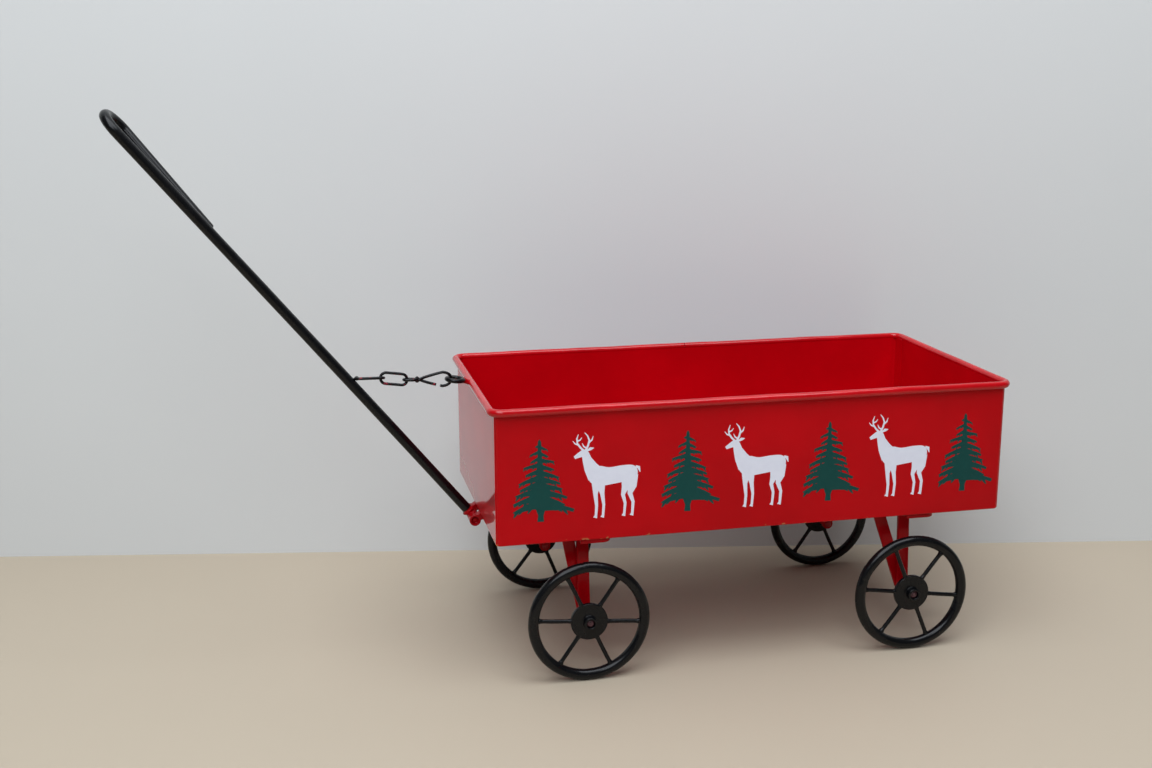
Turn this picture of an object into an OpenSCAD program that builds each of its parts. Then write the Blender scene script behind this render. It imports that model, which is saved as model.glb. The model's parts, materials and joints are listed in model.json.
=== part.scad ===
// Toy wagon with a sheet-metal tray, four rod wheels and a towing handle held up by a short chain.
// Millimetres. +X is forward (the handle side), +Y is the left side, +Z is up, the ground is z = 0.

/* [Tray] */
// Length of the tray over its end panels
body_l = 350; // [280:1:420]
// Width of the tray over its side panels
body_w = 171; // [137:1:205]
// Height of the underside of the tray above the ground
floor_z = 97.5; // [90:0.5:117]
// Height of the rim bead's centre above the underside of the tray
rim_rise = 88.2; // [70:0.2:106]
// Thickness of the tray sheet
sheet = 0.8; // [0.6:0.05:1.2]
// Outside radius of the bent wall corners
corner_r = 2; // [1.4:0.1:2.4]
// Width of the corner flanges folded round from the side panels
flange_w = 12; // [9:0.5:14]
// Width of the hems folded inward under the walls
hem_w = 12; // [9:0.5:14]
// Gap between neighbouring hems at the bottom corners
hem_gap = 1; // [0.5:0.1:2]
// Height of the flange turned up round the floor pan
pan_rise = 8; // [6:0.5:10]
// Outside radius of the floor pan's corners
pan_corner = 3; // [2:0.1:4]

/* [Rim] */
// Outside radius of the rolled rim bead
bead_r = 2.6; // [2.2:0.1:3.1]
// Wall thickness of the rolled bead
bead_wall = 0.8; // [0.6:0.05:1]
// Distance of the bead's centre outside the wall face
bead_out = 1.6; // [1.3:0.05:1.9]
// Corner radius of the bead's centre line
bead_corner = 7; // [6:0.1:8]
// Gap between the bead's two ends on the far side
bead_gap = 0.4; // [0.2:0.05:1]
// Radial room between the stiffening wire and the bead
wire_room = 0.05; // [0.01:0.01:0.1]

/* [Wheels] */
// Distance between the front and rear axles
wheelbase = 228; // [190:1:270]
// Distance of each wheel's middle plane from the centre line
wheel_y = 84; // [80:0.5:95]
// Outside radius of a wheel
wheel_r = 41; // [36:0.5:44]
// Radius of the rod that the wheel ring is bent from
ring_rod = 3.6; // [3:0.1:4.3]
// Number of spokes in a wheel
spokes = 6; // [4:1:8]
// Radius of a spoke
spoke_r = 1.4; // [1.2:0.05:1.45]
// Radius of the hub disc
disc_r = 12.5; // [10:0.5:15]
// Thickness of the hub disc
disc_t = 3; // [3:0.1:3.6]
// Radius of the hub boss
boss_r = 4.35; // [3.9:0.05:5.2]
// Length of the hub boss
boss_l = 10; // [8.5:0.5:11]
// How far the boss stands behind the wheel's middle plane
boss_back = 4; // [3.5:0.1:4.5]
// Angle of the first spoke on the left front and right rear wheels
phase_a = 5; // [0:1:59]
// Angle of the first spoke on the left rear and right front wheels
phase_b = 8; // [0:1:59]

/* [Axles] */
// Radius of an axle
axle_r = 2; // [1.7:0.05:2.3]
// Running room between an axle and its hubs
hub_fit = 0.05; // [0.02:0.01:0.1]
// Radius of the peened head on an axle
head_r = 2.5; // [2.4:0.05:2.6]
// Thickness of the peened head
head_t = 1.2; // [1:0.05:1.4]
// Radius of the pocket for the head in the boss
pocket_r = 2.8; // [2.75:0.05:3]
// Depth of the pocket
pocket_t = 2; // [1.8:0.05:2.4]
// Side play of a wheel on each face
wheel_play = 0.1; // [0.05:0.01:0.3]
// Radius of the spacers between the struts and the hubs
spacer_r = 3.5; // [3:0.1:4]

/* [Struts] */
// Width of a strut's flat bar
bar_w = 8; // [7:0.5:9.5]
// Thickness of a strut's flat bar
bar_t = 3; // [2.4:0.1:3.4]
// Distance from the centre line to the face where a pair of struts meet
strut_y = 67.5; // [66:0.5:68]
// Forward lean of the inner strut at the front axle
lean_front = 11.5; // [8:0.5:14]
// Forward lean of the inner strut at the rear axle
lean_rear = 20; // [14:0.5:22]
// Forward lean of the outer struts
lean_outer = 1.5; // [0:0.1:3]
// Length of the inner strut's foot under the floor
inner_foot = 15.5; // [12:0.5:18]
// Length of the outer strut's foot under the side hem
outer_foot = 13; // [10:0.5:15]

/* [Hitch] */
// Height of the hitch pin above the ground
hitch_z = 92; // [90.5:0.1:92.5]
// Distance of the hitch pin in front of the front panel
hitch_out = 3; // [2.5:0.1:4]
// Outside radius of the hitch barrel
knuckle_r = 3.9; // [3.6:0.05:4.1]
// Length of the handle's knuckle
knuckle_l = 14; // [12:0.5:15]
// Side room between the handle's knuckle and each bracket knuckle
knuckle_gap = 0.5; // [0.3:0.05:0.8]
// Length of each bracket knuckle
lug_l = 6.5; // [5.5:0.5:8]
// Radius of the hitch pin
pin_r = 1.9; // [1.6:0.05:2.1]
// How far each end of the pin stands out of its recess floor
pin_proud = 0.5; // [0.3:0.05:1]
// Running room between the pin and the handle's knuckle
pin_fit = 0.05; // [0.02:0.01:0.1]
// Depth of the open recess at each end of the barrel
recess_t = 2; // [1.5:0.1:2.4]
// Radius of that recess
recess_r = 2.6; // [2.4:0.05:2.9]
// Length of the bracket plate under the front hem
plate_l = 24; // [20:0.5:28]
// Thickness of the bracket plate
plate_t = 2.5; // [2:0.1:2.7]

/* [Handle] */
// Angle of the resting handle above the ground
handle_angle = 50.7; // [48:0.1:53]
// Radius of the handle rod
rod_r = 3.5; // [3:0.05:3.7]
// Distance from the hitch pin to the start of the hand loop's top bend
main_l = 343; // [290:1:410]
// Centre line radius of the top bend
bend_r = 12.5; // [11:0.1:15]
// Distance from the hitch pin to the end of the returned rod
return_s = 262; // [225:1:300]
// Distance between the two rods' centre lines where the returned rod ends
return_gap = 7.2; // [7.15:0.05:7.6]
// Twist of the hand loop about the rod
loop_twist = 5; // [0:1:15]

/* [Chain] */
// Radius of the chain wire
wire_r = 1; // [0.85:0.05:1.03]
// Distance of the weld of the first link from the hitch pin, along X
weld_x = 77.2; // [76:0.1:78]
// Height of the weld of the first link above the hitch pin
weld_z = 100.9; // [100:0.1:102]
// Distance of the first contact point from the hitch pin, along X
touch_a_x = 59; // [58:0.1:60]
// Height of the first contact point above the hitch pin
touch_a_z = 100.7; // [100:0.1:101.5]
// Distance of the second contact point from the hitch pin, along X
touch_b_x = 43.5; // [43:0.1:44]
// Height of the second contact point above the hitch pin
touch_b_z = 98.4; // [98:0.1:99]
// Half of the room between two touching wires
touch_room = 0.15; // [0.1:0.01:0.2]
// Width of a link between its wire centre lines
link_w = 7.4; // [7:0.1:7.8]
// Roll of the first link about its length
roll_a = 12.8; // [5:0.1:20]
// Roll of the second link about its length
roll_b = 100; // [94:1:106]
// Radius of the chain ring's centre line
eye_r = 5.55; // [5.2:0.05:5.9]
// Radius of the chain ring's wire
eye_wire = 1.6; // [1.4:0.05:1.65]
// Distance of the chain ring's centre from the front panel
eye_out = 12.9; // [12.5:0.05:13.3]
// Height of the chain ring's centre above the rim bead's centre
eye_rise = 3.3; // [3:0.05:3.6]
// Slope of the chain ring
eye_tilt = 6.2; // [4:0.1:8]
// Radius of the weld lump between the chain ring and the rim bead
weld_r = 2.2; // [1.9:0.05:2.4]

/* [Hook] */
// Length of the hook's small loop
small_l = 9.5; // [9:0.1:10]
// Half height of the hook's big loop at the wire's centre line
big_h = 5; // [4.3:0.05:5.2]
// Half width of the hook's small loop at the wire's centre line
small_h = 3; // [2.8:0.05:3.2]
// Roll of the small loop out of the big loop's plane
hook_roll = 85; // [75:1:90]
// Sideways shift of each arm where they cross
cross_off = 1.2; // [1.1:0.02:1.3]
// Room between the hook's end and the chain ring
hook_room = 0.25; // [0.15:0.01:0.35]

/* [Hidden] */

fine = 64;
eps = 0.5;
half_l = body_l / 2;
half_w = body_w / 2;
rim_z = floor_z + rim_rise;
// the walls stop inside the bead, which closes over them
wall_h = rim_rise - 1;
pan_z = floor_z + sheet;
axle_x = wheelbase / 2;
ring_c = wheel_r - ring_rod;
boss_in = wheel_y - boss_back;
boss_out = boss_in + boss_l;
hitch_x = half_l + hitch_out;
lug_in = knuckle_l / 2 + knuckle_gap;
lug_out = lug_in + lug_l;
return_back = main_l - return_s;
return_far = sqrt(pow(return_back, 2) + pow(bend_r - return_gap, 2));
return_l = sqrt(pow(return_far, 2) - pow(bend_r, 2));
over_bend = atan2(bend_r - return_gap, return_back) + asin(bend_r / return_far);
loop_tip = hitch_x + cos(handle_angle) * (main_l + bend_r)
  - sin(handle_angle) * sin(loop_twist) * bend_r + rod_r;
// the shared origin is under the middle of the whole wagon
mid_x = (loop_tip - half_l - bead_out - bead_r) / 2;
link_slope = atan2(touch_a_z - touch_b_z, touch_a_x - touch_b_x);
reach = wire_r + touch_room;
eye_x = half_l + eye_out;
eye_z = rim_z + eye_rise;
// centre of the hook's small end, and of the chain ring's outer wire
hook_x = hitch_x + touch_b_x + reach * cos(link_slope);
hook_z = hitch_z + touch_b_z + reach * sin(link_slope);
eye_edge_x = eye_x + eye_r * cos(eye_tilt);
eye_edge_z = eye_z + eye_r * sin(eye_tilt);
hook_slope = atan2(hook_z - eye_edge_z, hook_x - eye_edge_x);
hook_l = (hook_x - eye_edge_x) / cos(hook_slope) + eye_wire + wire_r + hook_room;
big_l = hook_l - small_l;

red = [0.66, 0, 0.06];
black = [0.05, 0.05, 0.06];
steel = [0.6, 0.6, 0.62];

// ---- shared shapes ----

module rounded_plate(l, w, h, r) {
  translate([-l / 2 + r, -w / 2, 0]) cube([l - 2 * r, w, h]);
  translate([-l / 2, -w / 2 + r, 0]) cube([l, w - 2 * r, h]);
  for (sx = [-1, 1], sy = [-1, 1]) {
    translate([sx * (l / 2 - r), sy * (w / 2 - r), 0]) cylinder(r = r, h = h, $fn = fine);
  }
}

module along_y(x, y0, z, l, r) {
  translate([x, y0 + l, z]) rotate([90, 0, 0]) cylinder(r = r, h = l, $fn = fine);
}

// a flat shape drawn in X and Z, given a thickness along Y
module upright(y0, t) {
  translate([0, y0 + t, 0]) rotate([90, 0, 0]) linear_extrude(t) children();
}

module place() {
  translate([-mid_x, 0, 0]) children();
}

// a closed oval of wire from x = 0 to x = l at its centre line
module oval_link(l, w, r) {
  end_r = w / 2;
  translate([end_r, 0, 0]) rotate([0, 0, 90])
    rotate_extrude(angle = 180, $fn = fine) translate([end_r, 0]) circle(r = r, $fn = fine);
  translate([l - end_r, 0, 0]) rotate([0, 0, -90])
    rotate_extrude(angle = 180, $fn = fine) translate([end_r, 0]) circle(r = r, $fn = fine);
  for (s = [-1, 1]) {
    translate([end_r, s * end_r, 0]) rotate([0, 90, 0])
      cylinder(r = r, h = l - 2 * end_r, $fn = fine);
  }
}

// ---- rim bead ----

module bead_profile(ro, ri) {
  difference() {
    circle(r = ro, $fn = fine);
    if (ri > 0) circle(r = ri, $fn = fine);
  }
}

module bead_run(l, ro, ri) {
  rotate([0, 90, 0]) linear_extrude(l) bead_profile(ro, ri);
}

// the whole bead path with a given outer and inner radius; the gap is in the far long side
module bead_path(ro, ri, gap) {
  cl = half_l + bead_out;
  cw = half_w + bead_out;
  lx = cl - bead_corner;
  ly = cw - bead_corner;
  translate([0, 0, rim_z]) {
    translate([-lx, cw, 0]) bead_run(2 * lx, ro, ri);
    translate([-lx, -cw, 0]) bead_run(lx - gap / 2, ro, ri);
    translate([gap / 2, -cw, 0]) bead_run(lx - gap / 2, ro, ri);
    for (s = [-1, 1]) {
      translate([s * cl, -ly, 0]) rotate([0, 0, 90]) bead_run(2 * ly, ro, ri);
    }
    for (k = [0:3]) {
      sx = (k == 0 || k == 3) ? 1 : -1;
      sy = (k < 2) ? 1 : -1;
      translate([sx * lx, sy * ly, 0]) rotate([0, 0, 90 * k])
        rotate_extrude(angle = 90, $fn = fine) translate([bead_corner, 0]) bead_profile(ro, ri);
    }
  }
}

module rim_bead() {
  color(red) place() bead_path(bead_r, bead_r - bead_wall, bead_gap);
}

module rim_wire() {
  color(steel) place() bead_path(bead_r - bead_wall - wire_room, 0, bead_gap);
}

// ---- tray sheet ----

module side_panel() {
  difference() {
    union() {
      intersection() {
        difference() {
          translate([0, 0, floor_z])
            rounded_plate(body_l - 2 * sheet, body_w, wall_h, corner_r);
          translate([0, 0, floor_z - eps])
            rounded_plate(body_l - 4 * sheet, body_w - 2 * sheet, wall_h + 2 * eps,
              corner_r - sheet);
        }
        translate([-half_l, half_w - flange_w, floor_z]) cube([body_l, flange_w, wall_h]);
      }
      translate([-half_l + 2 * sheet, half_w - hem_w, floor_z])
        cube([body_l - 4 * sheet, hem_w - sheet, sheet]);
    }
    bead_path(bead_r, 0, 0);
  }
}

module side_panel_left() {
  color(red) place() side_panel();
}

module side_panel_right() {
  color(red) place() mirror([0, 1, 0]) side_panel();
}

module end_panel() {
  panel_w = 2 * (half_w - corner_r);
  hem_half = half_w - flange_w - hem_gap;
  difference() {
    union() {
      translate([half_l - sheet, -panel_w / 2, floor_z]) cube([sheet, panel_w, wall_h]);
      translate([half_l - hem_w, -hem_half, floor_z]) cube([hem_w, 2 * hem_half, sheet]);
    }
    bead_path(bead_r, 0, 0);
  }
}

module front_panel() {
  color(red) place() end_panel();
}

module rear_panel() {
  color(red) place() mirror([1, 0, 0]) end_panel();
}

module floor_pan() {
  l = body_l - 4 * sheet;
  w = body_w - 2 * sheet;
  color(red) place() translate([0, 0, pan_z]) difference() {
    rounded_plate(l, w, pan_rise, pan_corner);
    translate([0, 0, sheet])
      rounded_plate(l - 2 * sheet, w - 2 * sheet, pan_rise, pan_corner - sheet);
  }
}

// ---- struts, axles and spacers ----

// a flat bar rising from the axle, its top edge level at z = top
module leaning_bar(lean, top) {
  rise = top - wheel_r;
  a = atan2(lean, rise);
  half = bar_w / 2;
  difference() {
    union() {
      circle(r = half, $fn = fine);
      polygon([[-half * cos(a), half * sin(a)], [half * cos(a), -half * sin(a)],
        [lean + half / cos(a), rise], [lean - half / cos(a), rise]]);
    }
    circle(r = axle_r, $fn = fine);
  }
}

module strut_inner(x, lean) {
  a = atan2(lean, pan_z - wheel_r);
  half = bar_w / 2 / cos(a);
  translate([x, 0, 0]) {
    translate([0, 0, wheel_r]) upright(strut_y - bar_t, bar_t) leaning_bar(lean, pan_z);
    translate([lean - half, strut_y - inner_foot, pan_z - bar_t])
      cube([2 * half, inner_foot - bar_t, bar_t]);
  }
}

module strut_outer(x) {
  a = atan2(lean_outer, floor_z - wheel_r);
  half = bar_w / 2 / cos(a);
  foot_y = half_w - 2;
  foot_mid = strut_y + bar_t + (foot_y - strut_y - bar_t) / 2;
  foot_r = (foot_y - strut_y - bar_t) / 2;
  translate([x, 0, 0]) {
    translate([0, 0, wheel_r]) upright(strut_y, bar_t) leaning_bar(lean_outer, floor_z);
    translate([0, 0, floor_z - bar_t]) {
      translate([lean_outer - half - outer_foot + foot_r, strut_y + bar_t, 0])
        cube([outer_foot - foot_r + 2 * half, 2 * foot_r, bar_t]);
      translate([lean_outer - half - outer_foot + foot_r, foot_mid, 0])
        cylinder(r = foot_r, h = bar_t, $fn = fine);
    }
  }
}

module strut_front_left_inner() {
  color(red) place() strut_inner(axle_x, lean_front);
}

module strut_front_left_outer() {
  color(red) place() strut_outer(axle_x);
}

module strut_front_right_inner() {
  color(red) place() mirror([0, 1, 0]) strut_inner(axle_x, lean_front);
}

module strut_front_right_outer() {
  color(red) place() mirror([0, 1, 0]) strut_outer(axle_x);
}

module strut_rear_left_inner() {
  color(red) place() strut_inner(-axle_x, lean_rear);
}

module strut_rear_left_outer() {
  color(red) place() strut_outer(-axle_x);
}

module strut_rear_right_inner() {
  color(red) place() mirror([0, 1, 0]) strut_inner(-axle_x, lean_rear);
}

module strut_rear_right_outer() {
  color(red) place() mirror([0, 1, 0]) strut_outer(-axle_x);
}

// a short axle riveted through the struts, its outer head on the pocket floor with the side play
module axle(x) {
  y0 = strut_y - bar_t;
  head_y = boss_out - pocket_t + wheel_play;
  along_y(x, y0 - head_t, wheel_r, head_t, head_r);
  along_y(x, y0, wheel_r, head_y - y0, axle_r);
  along_y(x, head_y, wheel_r, head_t, head_r);
}

module axle_front_left() {
  color(red) place() axle(axle_x);
}

module axle_front_right() {
  color(red) place() mirror([0, 1, 0]) axle(axle_x);
}

module axle_rear_left() {
  color(red) place() axle(-axle_x);
}

module axle_rear_right() {
  color(red) place() mirror([0, 1, 0]) axle(-axle_x);
}

module spacer(x) {
  y0 = strut_y + bar_t;
  l = boss_in - wheel_play - y0;
  difference() {
    along_y(x, y0, wheel_r, l, spacer_r);
    along_y(x, y0 - eps, wheel_r, l + 2 * eps, axle_r);
  }
}

module spacer_front_left() {
  color(red) place() spacer(axle_x);
}

module spacer_front_right() {
  color(red) place() mirror([0, 1, 0]) spacer(axle_x);
}

module spacer_rear_left() {
  color(red) place() spacer(-axle_x);
}

module spacer_rear_right() {
  color(red) place() mirror([0, 1, 0]) spacer(-axle_x);
}

// ---- wheels ----

module wheel_ring(x) {
  translate([x, wheel_y, wheel_r]) rotate([90, 0, 0])
    rotate_extrude($fn = fine) translate([ring_c, 0]) circle(r = ring_rod, $fn = fine);
}

module wheel_spokes(x, phase) {
  difference() {
    translate([x, wheel_y, wheel_r]) for (k = [0:spokes - 1]) {
      rotate([0, -phase - k * 360 / spokes, 0]) rotate([0, 90, 0])
        translate([0, 0, disc_r - 1]) cylinder(r = spoke_r, h = ring_c - disc_r + 1, $fn = fine);
    }
    wheel_ring(x);
    along_y(x, wheel_y - disc_t, wheel_r, 2 * disc_t, disc_r);
  }
}

module wheel_hub(x) {
  difference() {
    union() {
      along_y(x, wheel_y - disc_t / 2, wheel_r, disc_t, disc_r);
      along_y(x, boss_in, wheel_r, boss_out - boss_in, boss_r);
    }
    along_y(x, boss_in - eps, wheel_r, boss_out - boss_in + 2 * eps, axle_r + hub_fit);
    along_y(x, boss_out - pocket_t, wheel_r, pocket_t + eps, pocket_r);
  }
}

module wheel_front_left_ring() {
  color(black) place() wheel_ring(axle_x);
}

module wheel_front_left_spokes() {
  color(black) place() wheel_spokes(axle_x, phase_a);
}

module wheel_front_left_hub() {
  color(black) place() wheel_hub(axle_x);
}

module wheel_front_right_ring() {
  color(black) place() mirror([0, 1, 0]) wheel_ring(axle_x);
}

module wheel_front_right_spokes() {
  color(black) place() mirror([0, 1, 0]) wheel_spokes(axle_x, phase_b);
}

module wheel_front_right_hub() {
  color(black) place() mirror([0, 1, 0]) wheel_hub(axle_x);
}

module wheel_rear_left_ring() {
  color(black) place() wheel_ring(-axle_x);
}

module wheel_rear_left_spokes() {
  color(black) place() wheel_spokes(-axle_x, phase_b);
}

module wheel_rear_left_hub() {
  color(black) place() wheel_hub(-axle_x);
}

module wheel_rear_right_ring() {
  color(black) place() mirror([0, 1, 0]) wheel_ring(-axle_x);
}

module wheel_rear_right_spokes() {
  color(black) place() mirror([0, 1, 0]) wheel_spokes(-axle_x, phase_a);
}

module wheel_rear_right_hub() {
  color(black) place() mirror([0, 1, 0]) wheel_hub(-axle_x);
}

// ---- hitch ----

module hitch_bracket() {
  plate_x = half_l - 1;
  plate_z = floor_z - plate_t;
  color(red) place() difference() {
    union() {
      translate([plate_x - plate_l, -lug_out, plate_z]) cube([plate_l, 2 * lug_out, plate_t]);
      for (s = [-1, 1]) {
        y0 = s > 0 ? lug_in : -lug_out;
        along_y(hitch_x, y0, hitch_z, lug_l, knuckle_r);
        // a short web joins each bracket knuckle to the plate
        upright(y0, lug_l) polygon([[plate_x - 4 * knuckle_r, plate_z],
          [plate_x, plate_z + plate_t], [hitch_x, hitch_z + knuckle_r - sheet],
          [hitch_x, hitch_z], [hitch_x - knuckle_r + sheet, hitch_z]]);
      }
    }
    along_y(hitch_x, -lug_out - eps, hitch_z, 2 * lug_out + 2 * eps, pin_r);
    for (s = [-1, 1]) {
      along_y(hitch_x, s > 0 ? lug_out - recess_t : -lug_out - eps, hitch_z, recess_t + eps,
        recess_r);
    }
  }
}

module hitch_pin() {
  pin_half = lug_out - recess_t + pin_proud;
  color(red) place() along_y(hitch_x, -pin_half, hitch_z, 2 * pin_half, pin_r);
}

// ---- handle ----

// +X runs up the handle rod from the hitch pin, +Z is the rod's upper side
module on_handle() {
  translate([hitch_x, 0, hitch_z]) rotate([0, -handle_angle, 0]) children();
}

module handle_rod() {
  color(black) place() difference() {
    on_handle() translate([1, 0, 0]) rotate([0, 90, 0])
      cylinder(r = rod_r, h = main_l - 1, $fn = fine);
    along_y(hitch_x, -knuckle_l, hitch_z, 2 * knuckle_l, knuckle_r);
  }
}

// the top bend turns a little past a half circle, to the right side
module loop_bend() {
  color(black) place() on_handle() rotate([-loop_twist, 0, 0])
    translate([main_l, -bend_r, 0]) rotate([0, 0, -90 - over_bend])
      rotate_extrude(angle = 180 + over_bend, $fn = fine)
        translate([bend_r, 0]) circle(r = rod_r, $fn = fine);
}

// the returned end closes in on the rod until they nearly touch
module loop_return() {
  color(black) place() on_handle() rotate([-loop_twist, 0, 0])
    translate([main_l - bend_r * sin(over_bend), -bend_r - bend_r * cos(over_bend), 0])
      rotate([0, 0, 180 - over_bend]) rotate([0, 90, 0])
        cylinder(r = rod_r, h = return_l, $fn = fine);
}

module handle_knuckle() {
  color(red) place() difference() {
    along_y(hitch_x, -knuckle_l / 2, hitch_z, knuckle_l, knuckle_r);
    along_y(hitch_x, -knuckle_l, hitch_z, 2 * knuckle_l, pin_r + pin_fit);
  }
}

// ---- chain ----

module handle_link() {
  // from the wire that holds the next link out to the weld on the rod
  in_x = hitch_x + touch_a_x - reach * cos(link_slope);
  in_z = hitch_z + touch_a_z - reach * sin(link_slope);
  out_x = hitch_x + weld_x;
  out_z = hitch_z + weld_z;
  slope = atan2(out_z - in_z, out_x - in_x);
  color(black) place() difference() {
    translate([in_x, 0, in_z]) rotate([0, -slope, 0]) rotate([roll_a, 0, 0])
      oval_link((out_x - in_x) / cos(slope), link_w, wire_r);
    on_handle() translate([main_l / 4, 0, 0]) rotate([0, 90, 0])
      cylinder(r = rod_r, h = main_l / 4, $fn = fine);
  }
}

module chain_link() {
  span = sqrt(pow(touch_a_x - touch_b_x, 2) + pow(touch_a_z - touch_b_z, 2));
  color(black) place()
    translate([hitch_x + touch_b_x, 0, hitch_z + touch_b_z]) rotate([0, -link_slope, 0])
      rotate([roll_b, 0, 0]) translate([-reach, 0, 0])
        oval_link(span + 2 * reach, link_w, wire_r);
}

module eye() {
  translate([eye_x, 0, eye_z]) rotate([0, -eye_tilt, 0])
    rotate_extrude($fn = fine) translate([eye_r, 0]) circle(r = eye_wire, $fn = fine);
}

module chain_ring() {
  color(black) place() eye();
}

// the lump of weld runs from the bead to the near side of the ring
module ring_weld() {
  bead_x = half_l + bead_out;
  to_x = eye_x - eye_r * cos(eye_tilt) - bead_x;
  to_z = eye_z - eye_r * sin(eye_tilt) - rim_z;
  color(red) place() difference() {
    translate([bead_x, 0, rim_z]) rotate([0, atan2(to_x, to_z), 0])
      cylinder(r = weld_r, h = sqrt(to_x * to_x + to_z * to_z), $fn = fine);
    bead_path(bead_r, 0, 0);
    eye();
  }
}

// ---- hook ----
// The wire runs in a figure of eight. X runs from the small loop to the big one, Z is up.

hook_steps = 96;
hook_sides = 16;
hook_from = -57;
hook_turn = 351;

function ease(t) = let(c = min(1, max(0, t))) c * c * (3 - 2 * c);
function hook_at(i) = hook_from - hook_turn * i / hook_steps;
// +1 at the big loop's end, 0 where the arms cross, -1 at the small loop's end
function hook_q(a) = cos(a);
function hook_roll_at(a) = hook_roll * ease((0.12 - hook_q(a)) / 0.3);
// the big loop widens evenly to three quarters of its length
function hook_open(a) = hook_q(a) >= 0
  ? pow(min(1, hook_q(a) / 0.75), 0.9)
  : -sin(90 * min(1, -hook_q(a) / 0.4));
function hook_half(a) = hook_q(a) >= 0 ? big_h : small_h;
function hook_side(a) = sin(a) >= 0 ? 1 : -1;
function hook_rise(a) = hook_half(a) * hook_side(a) * hook_open(a)
  * sqrt(max(0, 1 - pow(hook_q(a), 8)));
function hook_shift(a) = cross_off * hook_side(a) * exp(-pow(hook_q(a) / 0.16, 2));
function hook_point(a) = let(p = hook_roll_at(a)) [
  small_l + (hook_q(a) >= 0 ? big_l : small_l) * hook_q(a),
  hook_rise(a) * sin(p) + hook_shift(a) * cos(p),
  hook_rise(a) * cos(p) - hook_shift(a) * sin(p)
];
function unit(v) = v / norm(v);
function hook_tangent(i) = unit(hook_point(hook_at(i) - 0.5) - hook_point(hook_at(i) + 0.5));
function hook_normal(i) = let(p = hook_roll_at(hook_at(i))) [0, cos(p), -sin(p)];

module chain_hook() {
  rings = [for (i = [0:hook_steps]) let(
      c = hook_point(hook_at(i)),
      t = hook_tangent(i),
      n = unit(cross(t, hook_normal(i))),
      b = cross(t, n))
    for (k = [0:hook_sides - 1])
      c + wire_r * (cos(360 * k / hook_sides) * n + sin(360 * k / hook_sides) * b)];
  last = hook_steps * hook_sides;
  walls = [for (i = [0:hook_steps - 1], k = [0:hook_sides - 1]) let(
      a = i * hook_sides + k,
      b = i * hook_sides + (k + 1) % hook_sides)
    each [[a, b, b + hook_sides], [a, b + hook_sides, a + hook_sides]]];
  start_cap = [[for (k = [0:hook_sides - 1]) hook_sides - 1 - k]];
  end_cap = [[for (k = [0:hook_sides - 1]) last + k]];
  color(black) place() translate([hook_x, 0, hook_z]) rotate([0, -hook_slope, 0])
    mirror([1, 0, 0]) polyhedron(rings, concat(walls, start_cap, end_cap));
}

floor_pan();
side_panel_left();
side_panel_right();
front_panel();
rear_panel();
rim_bead();
rim_wire();
strut_front_left_inner();
strut_front_left_outer();
strut_front_right_inner();
strut_front_right_outer();
strut_rear_left_inner();
strut_rear_left_outer();
strut_rear_right_inner();
strut_rear_right_outer();
axle_front_left();
axle_front_right();
axle_rear_left();
axle_rear_right();
spacer_front_left();
spacer_front_right();
spacer_rear_left();
spacer_rear_right();
hitch_bracket();
hitch_pin();
chain_ring();
ring_weld();
handle_knuckle();
handle_rod();
loop_bend();
loop_return();
handle_link();
chain_link();
chain_hook();
wheel_front_left_ring();
wheel_front_left_spokes();
wheel_front_left_hub();
wheel_front_right_ring();
wheel_front_right_spokes();
wheel_front_right_hub();
wheel_rear_left_ring();
wheel_rear_left_spokes();
wheel_rear_left_hub();
wheel_rear_right_ring();
wheel_rear_right_spokes();
wheel_rear_right_hub();
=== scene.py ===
import json
from math import asin, atan2, cos, exp, pi, radians, sin, sqrt, tau

import bmesh
import bpy
from mathutils import Matrix, Vector


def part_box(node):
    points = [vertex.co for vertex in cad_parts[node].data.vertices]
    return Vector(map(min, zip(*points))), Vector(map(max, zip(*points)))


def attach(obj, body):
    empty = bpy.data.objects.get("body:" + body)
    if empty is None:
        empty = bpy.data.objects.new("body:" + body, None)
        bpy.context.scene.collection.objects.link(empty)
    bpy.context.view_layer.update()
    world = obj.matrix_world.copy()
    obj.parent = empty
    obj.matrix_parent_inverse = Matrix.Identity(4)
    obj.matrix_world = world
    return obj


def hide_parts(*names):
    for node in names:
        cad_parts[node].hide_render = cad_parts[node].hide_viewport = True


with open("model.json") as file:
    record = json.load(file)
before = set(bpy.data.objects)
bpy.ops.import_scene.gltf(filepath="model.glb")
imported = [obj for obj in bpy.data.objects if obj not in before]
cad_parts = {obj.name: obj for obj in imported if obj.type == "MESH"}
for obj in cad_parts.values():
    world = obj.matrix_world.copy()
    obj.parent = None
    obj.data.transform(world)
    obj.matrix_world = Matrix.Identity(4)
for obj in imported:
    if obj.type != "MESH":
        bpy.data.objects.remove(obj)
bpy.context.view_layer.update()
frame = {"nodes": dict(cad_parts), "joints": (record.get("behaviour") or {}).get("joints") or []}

# ---- camera ----
# A view from the wagon's left, a little in front of its middle and above its rim.
# Its place is given from the middle of the tray floor's footprint on the ground.
floor_low, floor_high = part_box("floor_pan")
tray_x = (floor_low.x + floor_high.x) / 2
camera = bpy.data.objects.new("camera", bpy.data.cameras.new("camera"))
bpy.context.scene.collection.objects.link(camera)
camera.data.sensor_width = 36
camera.data.lens = 44.04
turn = Matrix.Rotation(radians(167.61), 4, "Z")
tilt = Matrix.Rotation(radians(90 - 13.22), 4, "X")
roll = Matrix.Rotation(radians(-0.19), 4, "Z")
camera.matrix_world = Matrix.Translation((tray_x + 0.3077, 0.9278, 0.4044)) @ turn @ tilt @ roll
bpy.context.scene.camera = camera


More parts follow.
